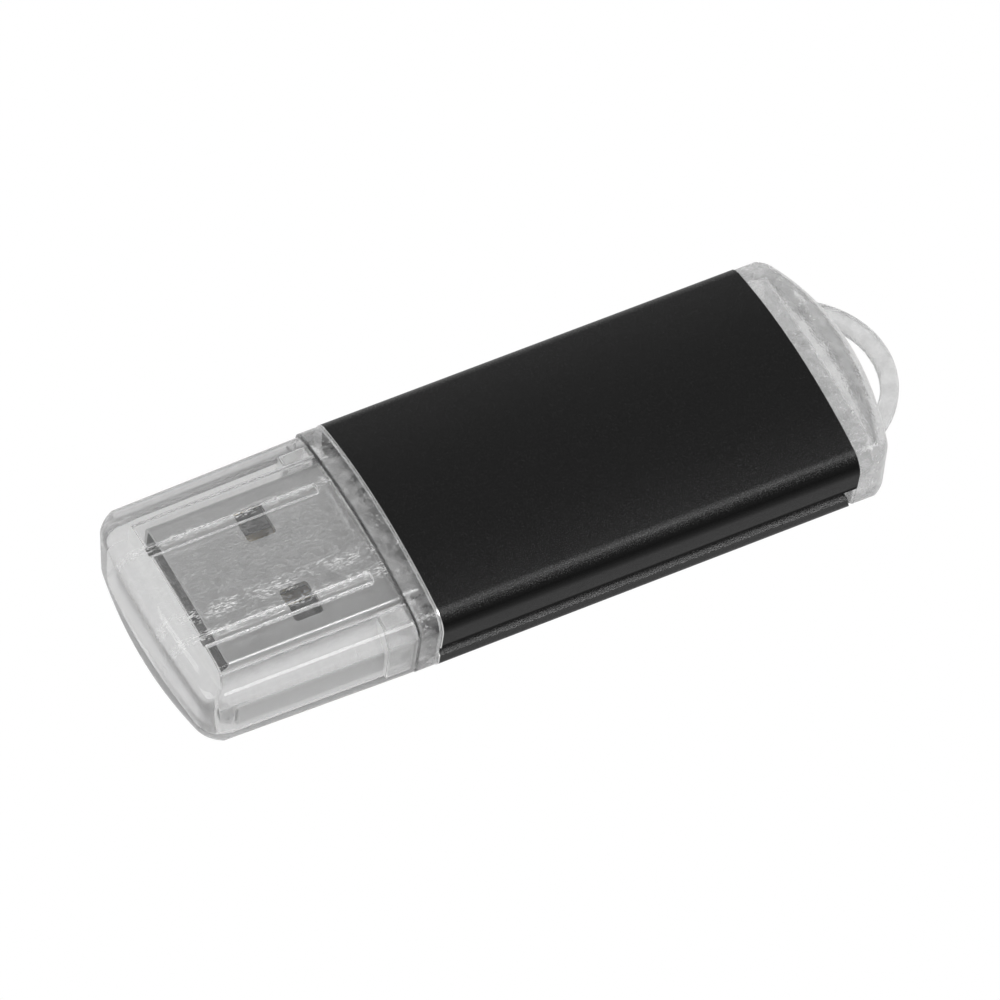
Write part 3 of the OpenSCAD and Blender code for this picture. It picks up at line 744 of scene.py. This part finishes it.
def smooth_group(degrees):
    """Node group that smooths faces and keeps edges above an angle sharp."""
    group = bpy.data.node_groups.new("smooth_by_angle", "GeometryNodeTree")
    group.interface.new_socket("Geometry", in_out="INPUT", socket_type="NodeSocketGeometry")
    group.interface.new_socket("Geometry", in_out="OUTPUT", socket_type="NodeSocketGeometry")
    start = group.nodes.new("NodeGroupInput")
    end = group.nodes.new("NodeGroupOutput")
    angle = group.nodes.new("GeometryNodeInputMeshEdgeAngle")
    below = group.nodes.new("FunctionNodeCompare")
    below.operation = "LESS_THAN"
    below.inputs["B"].default_value = math.radians(degrees)
    faces = group.nodes.new("GeometryNodeSetShadeSmooth")
    edges = group.nodes.new("GeometryNodeSetShadeSmooth")
    edges.domain = "EDGE"
    group.links.new(start.outputs[0], faces.inputs["Geometry"])
    group.links.new(faces.outputs[0], edges.inputs["Geometry"])
    group.links.new(angle.outputs["Unsigned Angle"], below.inputs["A"])
    group.links.new(below.outputs["Result"], edges.inputs["Shade Smooth"])
    group.links.new(edges.outputs[0], end.inputs[0])
    return group


def dress_node(obj, material, edge_mm, smoothing):
    """Gives a CAD node its material; with an edge width it is smoothed too, and rounded if that is over 0."""
    obj.data.materials.clear()
    obj.data.materials.append(material)
    if edge_mm is None:
        return
    weld = obj.modifiers.new("weld", "WELD")
    weld.merge_threshold = 1e-6
    if edge_mm > 0:
        bevel = obj.modifiers.new("edges", "BEVEL")
        bevel.width = edge_mm * MM
        bevel.segments = 3
        bevel.limit_method = "ANGLE"
        bevel.angle_limit = math.radians(BEVEL_ANGLE)
    smooth = obj.modifiers.new("smooth", "NODES")
    smooth.node_group = smoothing
    weighted = obj.modifiers.new("normals", "WEIGHTED_NORMAL")
    weighted.keep_sharp = True


def dress_frame(mats):
    """Materials and edge roundings for every CAD node that is shown as it is."""
    plan = [
        ("sleeve", "anodised", 0.07), ("carrier", "clear_body", 0.05),
        ("plug_shell", "steel", 0.0), ("plug_tongue", "insulator", 0.05),
        ("contact_vbus", "gold", 0.03), ("contact_data_minus", "gold", 0.03),
        ("contact_data_plus", "gold", 0.03), ("contact_ground", "gold", 0.03),
        ("contact_solder", "solder", 0.03), ("shell_solder", "solder", 0.05),
        ("circuit_board", "mask", 0.04), ("copper_pads", "gold", None),
        ("flash_chip", "mould", 0.06), ("flash_leads", "tin", None),
        ("controller_chip", "mould", 0.05), ("controller_leads", "tin", None),
        ("crystal_base", "ceramic", 0.04), ("crystal_can", "steel", 0.12),
        ("capacitor_bodies", "ceramic", 0.04), ("capacitor_terminals", "tin", 0.04),
        ("resistor_bodies", "mould", 0.03), ("resistor_terminals", "tin", 0.03),
        ("led_base", "ceramic", 0.03), ("led_lens", "resin", 0.1),
    ]
    smoothing = smooth_group(SHARP_ANGLE_CAD)
    for name, mat, edge_mm in plan:
        dress_node(NODES[name], mats[mat], edge_mm, smoothing)


# ---------------------------------------------------------------- studio

PART_MIDDLE = Vector((4.0, 0, 3.6))

# The world's grey by height, from the horizon at 0 to straight above at 1.
WORLD_GREYS = ((0.0, 0.6), (0.15, 0.8), (0.3, 0.6), (0.45, 0.32), (0.8, 0.35), (1.0, 0.35))

# The camera was fitted to the photograph: to the outline and to the plug, whose size is standard.
CAMERA_AIM = Vector((6.2725, 0.2306, 3.6))
CAMERA_AZIMUTH = 60.6702
CAMERA_ELEVATION = 52.2604
CAMERA_ROLL = 3.1342
CAMERA_DISTANCE = 727.413
CAMERA_LENS = 416.76


def place_object(obj, right, back, where_mm):
    """Puts a light or camera at where_mm, with its right side and its back in those directions."""
    rotation = Matrix((right, back.cross(right), back)).transposed().to_4x4()
    obj.matrix_world = Matrix.Translation(where_mm * MM) @ rotation
    bpy.context.scene.collection.objects.link(obj)


def area(name, toward, distance, size, power):
    """A soft light in direction toward from the part's middle, aimed at it, its width along the stick."""
    data = bpy.data.lights.new(name, "AREA")
    data.shape = "RECTANGLE"
    data.size = size[0] * MM
    data.size_y = size[1] * MM
    data.energy = power
    back = Vector(toward).normalized()
    wide = (Vector((1, 0, 0)) - back * back.x).normalized()
    place_object(bpy.data.objects.new(name, data), wide, back, PART_MIDDLE + back * distance)


def build_world():
    world = bpy.data.worlds.new("studio")
    world.use_nodes = True
    tree = world.node_tree
    coord = tree.nodes.new("ShaderNodeTexCoord")
    split = tree.nodes.new("ShaderNodeSeparateXYZ")
    ramp = tree.nodes.new("ShaderNodeValToRGB")
    grey_ramp(ramp.color_ramp, WORLD_GREYS, "LINEAR")
    tree.links.new(coord.outputs["Generated"], split.inputs[0])
    tree.links.new(split.outputs["Z"], ramp.inputs["Fac"])
    tree.links.new(ramp.outputs["Color"], tree.nodes["Background"].inputs["Color"])
    bpy.context.scene.world = world


def build_studio():
    build_world()
    area("strip_box", (-0.3, 0.36, 0.88), 350.0, (300.0, 100.0), 0.55)
    area("top_box", (0.5, -0.3, 0.85), 500.0, (200.0, 200.0), 0.3)
    area("front_fill", (0.9, 0.2, 0.35), 500.0, (300.0, 200.0), 0.5)
    corners = [(x * FLOOR_HALF_W, y * FLOOR_HALF_W, FLOOR_Z) for x, y in ((-1, -1), (1, -1), (1, 1), (-1, 1))]
    floor = mesh_object("floor", corners, [(0, 1, 2, 3)])
    floor.data.materials.append(floor_white())


def build_camera():
    """Long lens, looking down on the near flank from the cap's side."""
    azimuth, elevation = math.radians(CAMERA_AZIMUTH), math.radians(CAMERA_ELEVATION)
    flat = math.cos(elevation)
    back = Vector((flat * math.cos(azimuth), flat * math.sin(azimuth), math.sin(elevation)))
    level = Vector((0, 0, 1)).cross(back).normalized()
    roll = math.radians(CAMERA_ROLL)
    right = level * math.cos(roll) + back.cross(level) * math.sin(roll)
    data = bpy.data.cameras.new("camera")
    data.lens = CAMERA_LENS
    data.sensor_width = 36.0
    data.clip_start = 0.05
    data.clip_end = 20.0
    cam = bpy.data.objects.new("camera", data)
    place_object(cam, right, back, CAMERA_AIM + back * CAMERA_DISTANCE)
    bpy.context.scene.camera = cam


materials = make_materials()
dress_frame(materials)
build_cap(materials["clear_cap"])
build_end_piece(materials["clear_body"])
build_studio()
build_camera()
bpy.context.scene.view_settings.view_transform = "Standard"
